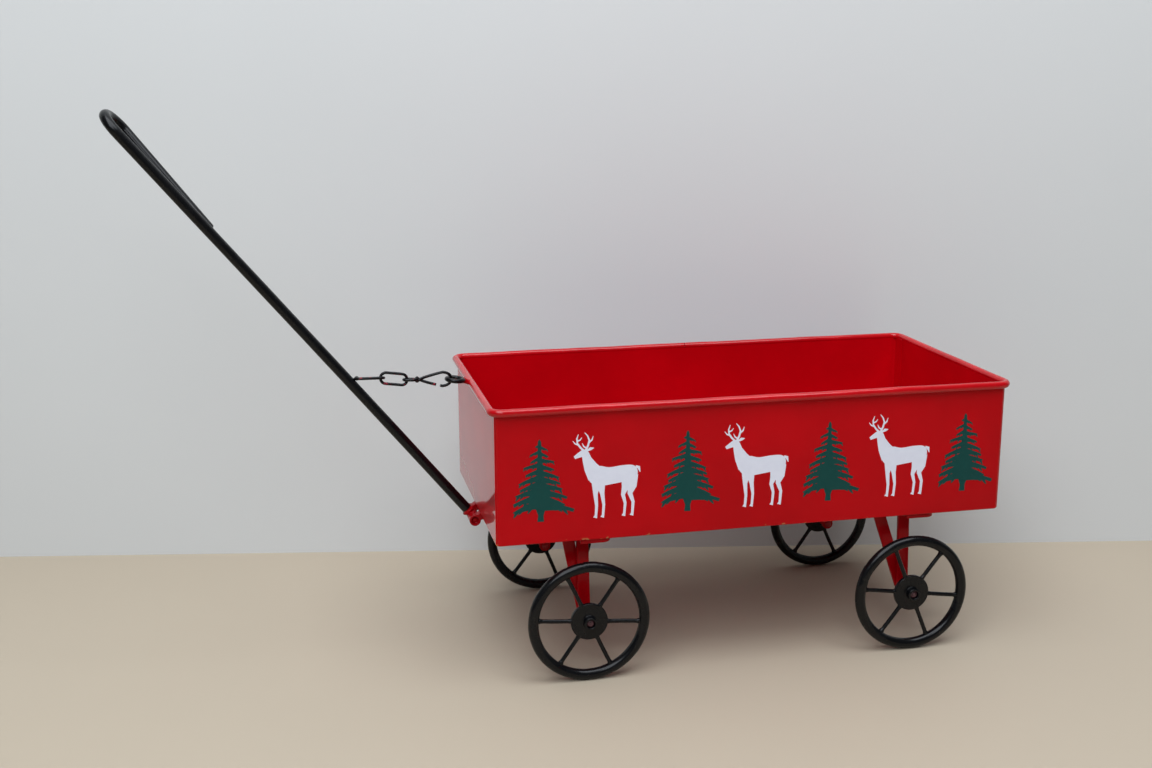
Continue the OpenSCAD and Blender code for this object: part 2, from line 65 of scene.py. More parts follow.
# ---- floor, wall and light ----
# A plain pale floor meets a plain light wall close behind the wagon, as in a product picture.
# A large softbox overhead and a weaker one in front give soft shadows and long reflections.
def linear(hex_colour):
    """A six-digit sRGB colour as linear red, green, blue and alpha."""
    parts = [int(hex_colour[i:i + 2], 16) / 255 for i in (1, 3, 5)]
    return [p / 12.92 if p < 0.04045 else ((p + 0.055) / 1.055) ** 2.4 for p in parts] + [1.0]


def add_node(tree, kind, settings=(), links=()):
    """Adds one shader node, sets its options and inputs, and links its inputs."""
    node = tree.nodes.new(kind)
    for name, value in dict(settings).items():
        if name in node.inputs:
            node.inputs[name].default_value = value
        else:
            setattr(node, name, value)
    for name, source in dict(links).items():
        tree.links.new(source, node.inputs[name])
    return node


def grain(millimetres):
    """The scale that gives a noise pattern patches of this size."""
    return 1000 / millimetres


def new_material(name):
    """A material with its Principled shader and output only; gives material, tree and shader."""
    material = bpy.data.materials.new(name)
    material.use_nodes = True
    tree = material.node_tree
    return material, tree, tree.nodes["Principled BSDF"]


def set_inputs(shader, **values):
    for name, value in values.items():
        shader.inputs[name.replace("_", " ")].default_value = value


def stage_plane(name, matrix, width, height, colour, roughness):
    bm = bmesh.new()
    bmesh.ops.create_grid(bm, x_segments=1, y_segments=1, size=0.5)
    bmesh.ops.scale(bm, vec=(width, height, 1), verts=bm.verts)
    bmesh.ops.transform(bm, matrix=matrix, verts=bm.verts)
    mesh = bpy.data.meshes.new(name)
    bm.to_mesh(mesh)
    plane = bpy.data.objects.new(name, mesh)
    bpy.context.scene.collection.objects.link(plane)
    material, tree, shader = new_material(name + "_paint")
    place = add_node(tree, "ShaderNodeTexCoord")
    patches = add_node(tree, "ShaderNodeTexNoise", {"Scale": grain(170), "Detail": 6.0},
                       {"Vector": place.outputs["Object"]})
    tone = add_node(tree, "ShaderNodeMix", {"data_type": "RGBA", "A": linear(colour),
                                            "B": [c * 0.97 for c in linear(colour)]})
    tree.links.new(patches.outputs["Fac"], tone.inputs["Factor"])
    tree.links.new(tone.outputs["Result"], shader.inputs["Base Color"])
    set_inputs(shader, Roughness=roughness)
    mesh.materials.append(material)
    return plane


stage_size = 6
wall_height = 3
wall_back = 0.149
wall_turn = radians(-10.6)
away = Vector((sin(wall_turn), -cos(wall_turn), 0))
wall_foot = Vector((tray_x, 0, 0)) + away * wall_back
stage_plane("floor", Matrix.Translation((tray_x, 0, 0)) @ Matrix.Rotation(wall_turn, 4, "Z"),
            stage_size, stage_size, "#B7AA96", 0.6)
wall = stage_plane("wall", Matrix.Translation(wall_foot + Vector((0, 0, wall_height / 2)))
                   @ Matrix.Rotation(wall_turn, 4, "Z") @ Matrix.Rotation(-pi / 2, 4, "X"),
                   stage_size, wall_height, "#DADDDD", 0.8)
# the wall is one-sided, so it never stands between the wagon and someone who walks round behind it
wall_tree = wall.data.materials[0].node_tree
wall_paint = wall_tree.nodes["Principled BSDF"].outputs["BSDF"]
side_seen = add_node(wall_tree, "ShaderNodeNewGeometry").outputs["Backfacing"]
clear = add_node(wall_tree, "ShaderNodeBsdfTransparent").outputs["BSDF"]
one_sided = add_node(wall_tree, "ShaderNodeMixShader", links={"Fac": side_seen})
wall_output = wall_tree.nodes["Material Output"].inputs["Surface"]
wall_tree.links.new(wall_paint, one_sided.inputs[1])
wall_tree.links.new(clear, one_sided.inputs[2])
wall_tree.links.new(one_sided.outputs["Shader"], wall_output)


def softbox(name, place, target, size, power):
    light = bpy.data.lights.new(name, "AREA")
    light.shape = "RECTANGLE"
    light.size, light.size_y = size
    light.energy = power
    light.color = linear("#F3F8FF")[:3]
    lamp = bpy.data.objects.new(name, light)
    lamp.location = place
    lamp.rotation_euler = (Vector(target) - Vector(place)).to_track_quat("-Z", "Y").to_euler()
    bpy.context.scene.collection.objects.link(lamp)


lit_point = (tray_x, 0, 0.15)
softbox("softbox_top", (tray_x + 0.1, 0.45, 1.7), lit_point, (1.8, 1.0), 27.5)
softbox("softbox_front", (tray_x + 0.8, 1.5, 1.6), lit_point, (1.4, 1.0), 21.5)
world = bpy.data.worlds.new("room")
world.use_nodes = True
world.node_tree.nodes["Background"].inputs["Color"].default_value = linear("#E6E9EE")
world.node_tree.nodes["Background"].inputs["Strength"].default_value = 0.14
bpy.context.scene.world = world
bpy.context.scene.view_settings.view_transform = "Standard"


# ---- tray sheet ----
# The tray is folded from thin steel sheet: two side panels that wrap round the corners, two end
# panels over them, and a floor pan let in from above. It is all sprayed with glossy red enamel.
MM = 0.001
sheet_t = 0.8 * MM
hem_w = 12 * MM
corner_r = 2 * MM
bend_r = 1.2 * MM
pan_corner_r = 3 * MM
side_low, side_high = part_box("side_panel_left")
front_low, front_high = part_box("front_panel")
half_l = front_high.x - tray_x
half_w = side_high.y
tray_z = side_low.z
bead_low, bead_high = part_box("rim_bead")
rim_z = (bead_low.z + bead_high.z) / 2
# the sheet's top edge is rolled up inside the rim bead
wall_top = rim_z - 1 * MM


def red_enamel(name, wave=0.0, chipped=False, lit="#C4000F", deep="#B8000D", gloss=1.17):
    """Sprayed gloss enamel. A deep even red under a thin clear gloss: it is cloudy over about 60 mm
    where the spray lapped, has a 2.4 mm orange peel, drawn coarse to show, and reflects in long
    soft waves where the sheet isn't flat. Along the bottom edge it is chipped to the primer."""
    material, tree, shader = new_material(name)
    place = add_node(tree, "ShaderNodeTexCoord").outputs["Object"]
    cloud = add_node(tree, "ShaderNodeTexNoise",
                     {"Scale": grain(62), "Detail": 3.0, "Roughness": 0.6}, {"Vector": place})
    spread = add_node(tree, "ShaderNodeValToRGB", links={"Fac": cloud.outputs["Fac"]})
    spread.color_ramp.elements[0].position = 0.38
    spread.color_ramp.elements[1].position = 0.66
    colour = add_node(tree, "ShaderNodeMix", {"data_type": "RGBA", "A": linear(deep),
                                              "B": linear(lit)},
                      {"Factor": spread.outputs["Color"]})
    top = colour.outputs["Result"]
    if chipped:
        height = add_node(tree, "ShaderNodeSeparateXYZ", links={"Vector": place}).outputs["Z"]
        near_edge = add_node(tree, "ShaderNodeMapRange",
                             {"From Min": tray_z + 2.2 * MM, "From Max": tray_z + 0.4 * MM},
                             {"Value": height})
        specks = add_node(tree, "ShaderNodeTexNoise", {"Scale": grain(5.3), "Detail": 2.0},
                          {"Vector": place})
        limit = add_node(tree, "ShaderNodeMapRange", {"From Min": 0.655, "From Max": 0.675},
                         {"Value": specks.outputs["Fac"]})
        chip = add_node(tree, "ShaderNodeMath", {"operation": "MULTIPLY"})
        tree.links.new(near_edge.outputs["Result"], chip.inputs[0])
        tree.links.new(limit.outputs["Result"], chip.inputs[1])
        worn = add_node(tree, "ShaderNodeMix", {"data_type": "RGBA", "B": linear("#B88A5A")},
                        {"Factor": chip.outputs["Value"]})
        tree.links.new(top, worn.inputs["A"])
        top = worn.outputs["Result"]
    tree.links.new(top, shader.inputs["Base Color"])
    peel = add_node(tree, "ShaderNodeTexNoise", {"Scale": grain(2.4), "Detail": 2.0},
                    {"Vector": place})
    bump = add_node(tree, "ShaderNodeBump", {"Strength": 0.12, "Distance": 0.02 * MM},
                    {"Height": peel.outputs["Fac"]})
    if wave:
        swell = add_node(tree, "ShaderNodeTexNoise", {"Scale": grain(77), "Detail": 1.0},
                         {"Vector": place})
        bump = add_node(tree, "ShaderNodeBump", {"Strength": wave, "Distance": 1.0 * MM},
                        {"Height": swell.outputs["Fac"], "Normal": bump.outputs["Normal"]})
    tree.links.new(bump.outputs["Normal"], shader.inputs["Normal"])
    tree.links.new(bump.outputs["Normal"], shader.inputs["Coat Normal"])
    set_inputs(shader, Roughness=0.4, Specular_IOR_Level=0.05, Coat_Weight=1.0,
               Coat_Roughness=0.05, Coat_IOR=gloss)
    return material


def finish_piece(bm, name, body, material, stands_for=(), smooth=40):
    """Turns a bmesh into a smooth-shaded object that rides on a body and replaces CAD nodes."""
    bmesh.ops.recalc_face_normals(bm, faces=bm.faces)
    mesh = bpy.data.meshes.new(name)
    bm.to_mesh(mesh)
    bm.free()
    mesh.shade_smooth()
    mesh.set_sharp_from_angle(angle=radians(smooth))
    mesh.materials.append(material)
    piece = bpy.data.objects.new(name, mesh)
    bpy.context.scene.collection.objects.link(piece)
    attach(piece, body)
    if stands_for:
        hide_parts(*stands_for)
    return piece


def open_box(low, high):
    """A box from one corner to the other, without its top face."""
    bm = bmesh.new()
    bmesh.ops.create_cube(bm, size=1)
    bmesh.ops.scale(bm, vec=high - low, verts=bm.verts)
    bmesh.ops.translate(bm, vec=(high + low) / 2, verts=bm.verts)
    top = [f for f in bm.faces if f.normal.z > 0.9]
    bmesh.ops.delete(bm, geom=top, context="FACES_ONLY")
    return bm


def round_edges(bm, wanted, offset, segments):
    """Rounds the edges that wanted(edge) picks; an edge with one face is left sharp."""
    edges = [e for e in bm.edges if len(e.link_faces) == 2 and wanted(e)]
    bmesh.ops.bevel(bm, geom=edges, offset=offset, segments=segments, profile=0.5,
                    affect="EDGES", material=-1)


def cut_away(bm, point, normal):
    """Removes what lies on the side that normal points to."""
    bmesh.ops.bisect_plane(bm, geom=bm.verts[:] + bm.edges[:] + bm.faces[:], plane_co=point,
                           plane_no=normal, clear_outer=True)


def thicken(bm, amount):
    """Gives an open sheet its thickness on the inside."""
    bmesh.ops.recalc_face_normals(bm, faces=bm.faces)
    bmesh.ops.solidify(bm, geom=bm.faces[:], thickness=amount)


def upright_edge(edge):
    return abs((edge.verts[0].co - edge.verts[1].co).normalized().z) > 0.99


def level_edge(height):
    """A test for the edges that lie at this height."""
    return lambda edge: all(abs(v.co.z - height) < 1e-6 for v in edge.verts)


tray_paint = red_enamel("red_enamel_sheet", wave=0.35, chipped=True)
# the floor pan's enamel is a darker red than the sides' all over: painted shade inside the tray
floor_enamel_with_painted_shade = red_enamel("red_enamel_floor_painted_shade", wave=0.25, lit="#B4000D", deep="#980009")
for side, name in ((1, "side_panel_left"), (-1, "side_panel_right")):
    low = Vector((tray_x - half_l + sheet_t, -half_w, tray_z))
    high = Vector((tray_x + half_l - sheet_t, half_w, wall_top))
    bm = open_box(low, high)
    round_edges(bm, upright_edge, corner_r, 6)
    round_edges(bm, level_edge(tray_z), bend_r, 4)
    keep_y = side * (half_w - hem_w)
    cut_away(bm, (0, keep_y, 0), (0, -side, 0))
    thicken(bm, sheet_t)
    finish_piece(bm, name + "_sheet", "tray", tray_paint, [name])

for side, name in ((1, "front_panel"), (-1, "rear_panel")):
    low = Vector((tray_x - half_l, -half_w + corner_r, tray_z))
    high = Vector((tray_x + half_l, half_w - corner_r, wall_top))
    bm = open_box(low, high)
    flanks = [f for f in bm.faces if abs(f.normal.y) > 0.9]
    bmesh.ops.delete(bm, geom=flanks, context="FACES_ONLY")
    round_edges(bm, level_edge(tray_z), bend_r, 4)
    cut_away(bm, (tray_x + side * (half_l - hem_w), 0, 0), (-side, 0, 0))
    thicken(bm, sheet_t)
    finish_piece(bm, name + "_sheet", "tray", tray_paint, [name])

bm = open_box(floor_low, floor_high)
round_edges(bm, upright_edge, pan_corner_r, 6)
round_edges(bm, level_edge(floor_low.z), bend_r, 4)
thicken(bm, sheet_t)
finish_piece(bm, "floor_pan_sheet", "tray", floor_enamel_with_painted_shade, ["floor_pan"])


# ---- rim bead ----
# The top edge is rolled outward round a stiffening wire. The roll is bent by hand, so it wavers
# slightly, and its two ends meet in a butt joint in the middle of the far side.
bead_r = (bead_high.z - bead_low.z) / 2
bead_x = bead_high.x - bead_r - tray_x
bead_y = bead_high.y - bead_r
bead_corner = 7 * MM
bead_gap = 0.4 * MM


def tube(points, radius, closed=False, sides=16, radii=None):
    """A round wire along a line of points, as a bmesh, made from a bevelled curve."""
    curve = bpy.data.curves.new("wire", "CURVE")
    curve.dimensions = "3D"
    curve.bevel_depth = radius
    curve.bevel_resolution = sides // 2 - 2
    curve.use_fill_caps = True
    curve.twist_mode = "MINIMUM"
    spline = curve.splines.new("POLY")
    spline.points.add(len(points) - 1)
    for i, (point, place) in enumerate(zip(spline.points, points)):
        point.co = (*place, 1)
        point.radius = radii[i] if radii else 1
    spline.use_cyclic_u = closed
    wire = bpy.data.objects.new("wire", curve)
    bpy.context.scene.collection.objects.link(wire)
    bpy.context.view_layer.update()
    depsgraph = bpy.context.evaluated_depsgraph_get()
    mesh = bpy.data.meshes.new_from_object(wire.evaluated_get(depsgraph))
    bm = bmesh.new()
    bm.from_mesh(mesh)
    bmesh.ops.remove_doubles(bm, verts=bm.verts, dist=1e-7)
    bpy.data.objects.remove(wire)
    bpy.data.curves.remove(curve)
    bpy.data.meshes.remove(mesh)
    return bm


def join(bm, other):
    """Adds another bmesh's geometry to bm."""
    mesh = bpy.data.meshes.new("part")
    other.to_mesh(mesh)
    other.free()
    bm.from_mesh(mesh)
    bpy.data.meshes.remove(mesh)


def arc(centre, radius, start, stop, steps):
    """Points of an arc in the ground plane, angles in degrees."""
    return [Vector((centre[0] + radius * cos(radians(start + (stop - start) * i / steps)),
                    centre[1] + radius * sin(radians(start + (stop - start) * i / steps)), 0))
            for i in range(steps + 1)]


def straight(start, end, steps):
    return [Vector(start).lerp(Vector(end), i / steps) for i in range(steps + 1)]


run_x = bead_x - bead_corner
run_y = bead_y - bead_corner
bead_line = straight((bead_gap / 2, -bead_y, 0), (run_x, -bead_y, 0), 60)
bead_line += arc((run_x, -run_y), bead_corner, -90, 0, 14)[1:]
bead_line += straight((bead_x, -run_y, 0), (bead_x, run_y, 0), 60)[1:]
bead_line += arc((run_x, run_y), bead_corner, 0, 90, 14)[1:]
bead_line += straight((run_x, bead_y, 0), (-run_x, bead_y, 0), 120)[1:]
bead_line += arc((-run_x, run_y), bead_corner, 90, 180, 14)[1:]
bead_line += straight((-bead_x, run_y, 0), (-bead_x, -run_y, 0), 60)[1:]
bead_line += arc((-run_x, -run_y), bead_corner, 180, 270, 14)[1:]
bead_line += straight((-run_x, -bead_y, 0), (-bead_gap / 2, -bead_y, 0), 60)[1:]
bead_points = []
bead_radii = []
for p in bead_line:
    swing = sin(p.x * 61 + 1.1) * 0.5 + sin(p.x * 143 + p.y * 37) * 0.3 + sin(p.y * 97 + 0.4) * 0.3
    bead_points.append(Vector((tray_x + p.x, p.y, rim_z + swing * 0.18 * MM)))
    bead_radii.append(0.985 + 0.012 * sin(p.x * 211 + p.y * 173))
bm = tube(bead_points, bead_r, sides=28, radii=bead_radii)
bead_paint = red_enamel("red_enamel_bead", wave=0.15, lit="#C4000F", deep="#B0000C", gloss=1.42)
finish_piece(bm, "rim_bead_roll", "tray", bead_paint, ["rim_bead"], smooth=60)


# ---- prints ----
# Each side carries a row of screen prints, fir, stag, fir and so on, in flat ink about as thick
# as a hair. The drawings are plain silhouettes: a ragged fir, and a stag standing in profile.
def ink(name, colour, shade):
    """Screen printing ink, duller than the enamel round it, with the mottle that the mesh leaves.
    The mottle is drawn at 4 mm, far coarser than a mesh, to show at all."""
    material, tree, shader = new_material(name)
    place = add_node(tree, "ShaderNodeTexCoord").outputs["Object"]
    mottle = add_node(tree, "ShaderNodeTexNoise", {"Scale": grain(3.8), "Detail": 4.0},
                      {"Vector": place})
    tone = add_node(tree, "ShaderNodeMix", {"data_type": "RGBA", "A": linear(colour),
                                            "B": linear(shade)}, {"Factor": mottle.outputs["Fac"]})
    bump = add_node(tree, "ShaderNodeBump", {"Strength": 0.15, "Distance": 0.02 * MM},
                    {"Height": mottle.outputs["Fac"]})
    tree.links.new(tone.outputs["Result"], shader.inputs["Base Color"])
    tree.links.new(bump.outputs["Normal"], shader.inputs["Normal"])
    set_inputs(shader, Roughness=0.45, IOR=1.3)
    return material


def fir_strokes():
    """One fir, 1 high, round x = 0: a trunk, drooping boughs and twigs, as tapering strokes."""
    trunk = [(0, 0), (0.003, 0.08), (0.002, 0.2), (0, 0.5), (-0.004, 0.82), (-0.006, 0.97),
             (-0.006, 1.0)]
    shapes = [(trunk, [0.080, 0.066, 0.150, 0.110, 0.048, 0.040, 0.012])]
    tiers = 10
    for i in range(tiers):
        for side in (1, -1):
            drop = (i + (0.42 if side > 0 else 0.1)) / tiers
            reach = (0.06 + 0.34 * drop ** 0.85) * (0.93 + 0.17 * sin(i * 2.9 + side * 1.3))
            root = 0.93 - 0.79 * drop
            sag = 0.012 + 0.062 * drop + 0.014 * sin(i * 1.7 + side)
            thick = 0.024 + 0.052 * drop
            bough = [(0, root + 0.01), (side * reach * 0.35, root - sag * 0.15),
                     (side * reach * 0.72, root - sag * 0.62), (side * reach, root - sag)]
            shapes.append((bough, [thick * 1.7, thick * 1.25, thick * 0.75, thick * 0.2]))
            for k, share in enumerate((0.30, 0.48, 0.66, 0.84)):
                x = side * reach * share
                z = root - sag * share ** 1.4
                reach_out = reach * (0.16 - 0.05 * share) + 0.008
                fall = thick * (0.85 + 0.35 * sin(i * 3.1 + k * 2.3 + side))
                twig = [(x, z), (x + side * reach_out * 0.6, z - fall * 0.6),
                        (x + side * reach_out, z - fall)]
                shapes.append((twig, [thick * 0.62, thick * 0.42, thick * 0.12]))
    return shapes


def smooth_loop(points, steps=4):
    """A closed Catmull-Rom curve through the points."""
    out = []
    count = len(points)
    for i in range(count):
        p0, p1, p2, p3 = (Vector(points[(i + k - 1) % count]) for k in range(4))
        for s in range(steps):
            t = s / steps
            out.append(0.5 * (2 * p1 + (p2 - p0) * t + (2 * p0 - 5 * p1 + 4 * p2 - p3) * t * t
                              + (3 * p1 - p0 - 3 * p2 + p3) * t ** 3))
    return out


def stroke(points, widths):
    """A tapering stroke along a line of points, as a closed outline."""
    left, right = [], []
    for i, p in enumerate(points):
        ahead = Vector(points[min(i + 1, len(points) - 1)])
        behind = Vector(points[max(i - 1, 0)])
        across = (ahead - behind).normalized().orthogonal() * widths[i] / 2
        left.append(Vector(p) + across)
        right.append(Vector(p) - across)
    return left + right[::-1]


# A plain stag in profile, facing the front of the wagon; one unit is hoof to antler tip. The body
# is one outline, and the neck, head, ear, legs, tail and antlers are tapering strokes.
stag_body = [
    (-0.25, 0.56), (-0.265, 0.49), (-0.225, 0.41), (-0.12, 0.372), (0.02, 0.385), (0.14, 0.40),
    (0.24, 0.40), (0.30, 0.45), (0.305, 0.54), (0.25, 0.592), (0.12, 0.595), (-0.02, 0.582),
    (-0.14, 0.605),
]
stag_strokes = [
    ([(-0.17, 0.50), (-0.235, 0.60), (-0.275, 0.69), (-0.295, 0.765)], [0.21, 0.155, 0.105, 0.080]),
    ([(-0.262, 0.772), (-0.31, 0.770), (-0.37, 0.742), (-0.418, 0.718)],
     [0.050, 0.084, 0.056, 0.034]),
    ([(-0.275, 0.790), (-0.232, 0.812), (-0.195, 0.818)], [0.018, 0.036, 0.006]),
    ([(-0.165, 0.43), (-0.178, 0.28), (-0.165, 0.14), (-0.172, 0.03), (-0.182, 0.0)],
     [0.12, 0.052, 0.034, 0.030, 0.046]),
    ([(-0.12, 0.42), (-0.100, 0.28), (-0.082, 0.15), (-0.090, 0.03), (-0.100, 0.0)],
     [0.11, 0.050, 0.032, 0.028, 0.044]),
    ([(0.235, 0.47), (0.245, 0.34), (0.222, 0.26), (0.258, 0.16), (0.250, 0.03), (0.240, 0.0)],
     [0.16, 0.105, 0.056, 0.036, 0.030, 0.046]),
    ([(0.19, 0.45), (0.165, 0.33), (0.140, 0.25), (0.166, 0.15), (0.156, 0.03), (0.146, 0.0)],
     [0.14, 0.080, 0.046, 0.032, 0.028, 0.044]),
    ([(0.285, 0.572), (0.322, 0.560), (0.338, 0.505)], [0.030, 0.036, 0.008]),
    ([(-0.292, 0.79), (-0.262, 0.85), (-0.248, 0.91), (-0.268, 0.962), (-0.300, 1.0)],
     [0.026, 0.023, 0.020, 0.016, 0.007]),
    ([(-0.276, 0.818), (-0.312, 0.842), (-0.330, 0.880)], [0.018, 0.016, 0.006]),
    ([(-0.254, 0.880), (-0.218, 0.912), (-0.204, 0.955)], [0.018, 0.016, 0.006]),
    ([(-0.308, 0.79), (-0.348, 0.83), (-0.384, 0.88), (-0.390, 0.935), (-0.372, 0.985)],
     [0.024, 0.022, 0.020, 0.016, 0.007]),
    ([(-0.372, 0.862), (-0.410, 0.878), (-0.436, 0.912)], [0.018, 0.015, 0.006]),
    ([(-0.386, 0.905), (-0.352, 0.918), (-0.332, 0.946)], [0.018, 0.015, 0.006]),
]
ink_depth = 0.05 * MM


def print_on_side(bm, outline, side, x, height, layer=0):
    """A silhouette laid on a side panel; +x of the drawing is the wagon's rear. Each later layer is
    a little thicker, so that no two of them share a face."""
    face_y = side * (half_w - 0.02 * MM)
    depth = ink_depth + layer * 0.0012 * MM
    corners = [bm.verts.new((tray_x + x - p[0] * height, face_y, print_foot + p[1] * height))
               for p in outline]
    face = bm.faces.new(corners)
    lifted = bmesh.ops.extrude_face_region(bm, geom=[face])
    moved = [v for v in lifted["geom"] if isinstance(v, bmesh.types.BMVert)]
    bmesh.ops.translate(bm, vec=(0, side * depth, 0), verts=moved)


print_foot = tray_z + 15 * MM
fir_h = 54.5 * MM
stag_h = 57.3 * MM
fir_places = [0.1461, 0.0484, -0.0493, -0.1467]
stag_places = [0.0999, -0.0011, -0.1017]
green_ink = ink("green_print_ink", "#0C4A46", "#0A413E")
white_ink = ink("white_print_ink", "#EDF1FF", "#E2E6F6")
for side, label in ((1, "left"), (-1, "right")):
    bm = bmesh.new()
    for x in fir_places:
        for i, (line, widths) in enumerate(fir_strokes()):
            print_on_side(bm, stroke(line, widths), side, x, fir_h, i)
    finish_piece(bm, "fir_prints_" + label, "tray", green_ink)
    bm = bmesh.new()
    for x in stag_places:
        print_on_side(bm, smooth_loop(stag_body), side, x, stag_h)
        for i, (line, widths) in enumerate(stag_strokes):
            print_on_side(bm, stroke(line, widths), side, x, stag_h, i + 1)
    finish_piece(bm, "stag_prints_" + label, "tray", white_ink)


# ---- struts ----
# Each wheel hangs on two flat bars that cross at its axle. They are sheared from strip, their feet
# bent over and spot welded under the tray, and the enamel softens every edge.
def cad_copy(*names):
    """The CAD meshes of these nodes as one merged bmesh, without the flat faces' inner edges."""
    bm = bmesh.new()
    for name in names:
        bm.from_mesh(frame["nodes"][name].data)
    bmesh.ops.remove_doubles(bm, verts=bm.verts, dist=1e-6)
    bmesh.ops.dissolve_limit(bm, angle_limit=radians(0.5), verts=bm.verts, edges=bm.edges)
    return bm


def corner_edge(edge):
    """True where two faces meet at a corner that a tool or a bend left."""
    return edge.calc_face_angle(0) > radians(40)


# the struts' and spacers' enamel is a darker red than the tray sheet's: painted shade under the tray
strut_enamel_with_painted_shade = red_enamel("red_enamel_struts_painted_shade", wave=0.2, lit="#B0000D", deep="#94000A")
for end in ("front", "rear"):
    for hand in ("left", "right"):
        for layer in ("inner", "outer"):
            node = "strut_%s_%s_%s" % (end, hand, layer)
            bm = cad_copy(node)
            round_edges(bm, corner_edge, 0.35 * MM, 3)
            finish_piece(bm, node + "_bar", "tray", strut_enamel_with_painted_shade, [node])


# ---- axles and spacers ----
# A short axle is riveted through each pair of struts. A turned spacer keeps the wheel off them, and
# the axle's outer end is peened to a small domed head inside the pocket of the hub.
def softened(corners, radius, closed=True, steps=4):
    """A turned outline with its corners rounded, inner ones as well as outer ones."""
    out = []
    count = len(corners)
    for i in range(count):
        here = Vector(corners[i])
        if not closed and i in (0, count - 1):
            out.append(here)
            continue
        before = Vector(corners[i - 1]) - here
        after = Vector(corners[(i + 1) % count]) - here
        start = here + before.normalized() * min(radius, before.length * 0.45)
        end = here + after.normalized() * min(radius, after.length * 0.45)
        for s in range(steps + 1):
            t = s / steps
            out.append(start * (1 - t) ** 2 + here * 2 * t * (1 - t) + end * t * t)
    return out


def turned(outline, centre_x, centre_z, side=1, closed=True, steps=96):
    """Spins an outline round an axle line. Its pairs are radius and distance from the middle."""
    bm = bmesh.new()
    verts = [bm.verts.new((centre_x + r, side * y, centre_z)) for r, y in outline]
    edges = [bm.edges.new(pair) for pair in zip(verts, verts[1:])]
    if closed:
        edges.append(bm.edges.new((verts[-1], verts[0])))
    bmesh.ops.spin(bm, geom=verts + edges, cent=(centre_x, 0, centre_z), axis=(0, 1, 0),
                   angle=tau, steps=steps, use_merge=True)
    bmesh.ops.remove_doubles(bm, verts=bm.verts, dist=1e-7)
    return bm


def worn_head_paint():
    """Red enamel on a steel rivet. Outside the wheel the hammered head has lost its colour, and is
    a dull dark red with a pitting of about a millimetre; inside it the paint is whole."""
    material, tree, shader = new_material("worn_axle_head")
    place = add_node(tree, "ShaderNodeTexCoord").outputs["Object"]
    wear = add_node(tree, "ShaderNodeTexNoise", {"Scale": grain(1.1), "Detail": 4.0},
                    {"Vector": place})
    edge = add_node(tree, "ShaderNodeMapRange", {"From Min": 0.42, "From Max": 0.58},
                    {"Value": wear.outputs["Fac"]})
    tone = add_node(tree, "ShaderNodeMix", {"data_type": "RGBA", "A": linear("#5C3A42"),
                                            "B": linear("#2B1216")},
                    {"Factor": edge.outputs["Result"]})
    bump = add_node(tree, "ShaderNodeBump", {"Strength": 0.5, "Distance": 0.15 * MM},
                    {"Height": wear.outputs["Fac"]})
    across = add_node(tree, "ShaderNodeSeparateXYZ", links={"Vector": place}).outputs["Y"]
    reach_out = add_node(tree, "ShaderNodeMath", {"operation": "ABSOLUTE"})
    tree.links.new(across, reach_out.inputs[0])
    # an outer head lies beyond these distances from the middle, and an inner head well inside them
    inside = add_node(tree, "ShaderNodeMapRange", {"From Min": 78 * MM, "From Max": 77 * MM},
                      {"Value": reach_out.outputs["Value"]})
    # inside the wheel the head has the struts' darker red, which is painted shade under the tray
    painted = add_node(tree, "ShaderNodeMix", {"data_type": "RGBA", "B": linear("#94000A")},
                       {"Factor": inside.outputs["Result"], "A": tone.outputs["Result"]})
    tree.links.new(painted.outputs["Result"], shader.inputs["Base Color"])
    tree.links.new(bump.outputs["Normal"], shader.inputs["Normal"])
    set_inputs(shader, Metallic=0.2, Roughness=0.4)
    return material


axle_paint = worn_head_paint()
axle_r = 2 * MM
head_t = 1.2 * MM
rim_t = 0.7 * MM
for end in ("front", "rear"):
    for hand, side in (("left", 1), ("right", -1)):
        axle_low, axle_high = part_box("axle_%s_%s" % (end, hand))
        spacer_low, spacer_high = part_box("spacer_%s_%s" % (end, hand))
        at_x = (axle_low.x + axle_high.x) / 2
        at_z = (axle_low.z + axle_high.z) / 2
        inner = min(abs(axle_low.y), abs(axle_high.y))
        outer = max(abs(axle_low.y), abs(axle_high.y))
        head_r = (axle_high.x - axle_low.x) / 2
        stem = [(0, inner), (1.4 * MM, inner + 0.1 * MM), (head_r, inner + rim_t),
                (head_r, inner + head_t), (axle_r, inner + head_t), (axle_r, outer - head_t),
                (head_r, outer - head_t), (head_r, outer - rim_t), (1.5 * MM, outer - 0.15 * MM),
                (0.7 * MM, outer), (0, outer - 0.1 * MM)]
        bm = turned(softened(stem, 0.3 * MM, closed=False), at_x, at_z, side, closed=False,
                    steps=48)
        finish_piece(bm, "axle_%s_%s_pin" % (end, hand), "tray", axle_paint,
                     ["axle_%s_%s" % (end, hand)], smooth=50)
        near = min(abs(spacer_low.y), abs(spacer_high.y))
        far = max(abs(spacer_low.y), abs(spacer_high.y))
        spacer_r = (spacer_high.x - spacer_low.x) / 2
        sleeve = [(axle_r, near), (spacer_r, near), (spacer_r, far), (axle_r, far)]
        bm = turned(softened(sleeve, 0.4 * MM), at_x, at_z, side, steps=64)
        finish_piece(bm, "spacer_%s_%s_sleeve" % (end, hand), "tray", strut_enamel_with_painted_shade,
                     ["spacer_%s_%s" % (end, hand)], smooth=50)


